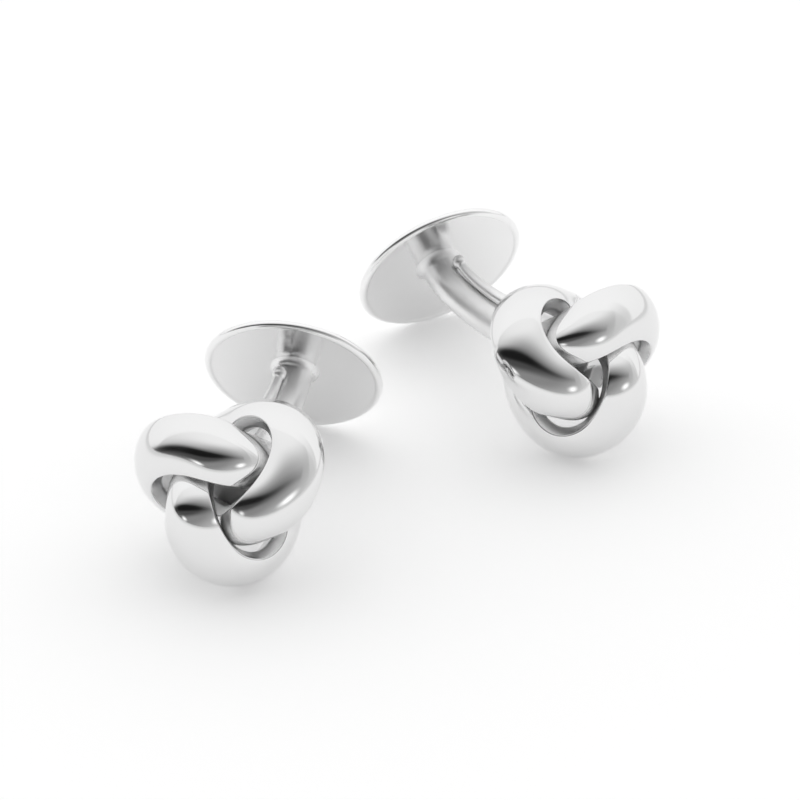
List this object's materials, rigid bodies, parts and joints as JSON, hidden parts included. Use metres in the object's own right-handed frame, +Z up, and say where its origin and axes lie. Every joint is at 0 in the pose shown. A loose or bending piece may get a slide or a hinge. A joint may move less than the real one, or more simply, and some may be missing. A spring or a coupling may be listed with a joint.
{
  "type": "pair of knot cufflinks",
  "caption": "Pair of polished silver knot cufflinks on curved posts with fixed round backs, lying on a table; the right one lifts away.",
  "frame": {"origin": "on the table, under the middle of the pair's bounding box", "axes": "+Z is up from the table; -Y faces the viewer; +X runs from the left cufflink to the right one"},
  "size_m": [0.0428, 0.0412, 0.0145],
  "materials": {
    "polished_silver": "mirror-polished sterling silver"
  },
  "bodies": {
    "left_cufflink": {"left_lobe_a": "polished_silver", "left_lobe_b": "polished_silver", "left_lobe_c": "polished_silver", "left_knot_seat": "polished_silver", "left_post": "polished_silver", "left_post_wire": "polished_silver", "left_back_disc": "polished_silver"},
    "right_cufflink": {"right_lobe_a": "polished_silver", "right_lobe_b": "polished_silver", "right_lobe_c": "polished_silver", "right_knot_seat": "polished_silver", "right_post": "polished_silver", "right_post_wire": "polished_silver", "right_back_disc": "polished_silver"}
  },
  "joints": [
    {"name": "right_lift", "type": "slide", "parent": "left_cufflink", "child": "right_cufflink", "axis": [0, 0, 1], "range_m": [0, 0.03]}
  ]
}
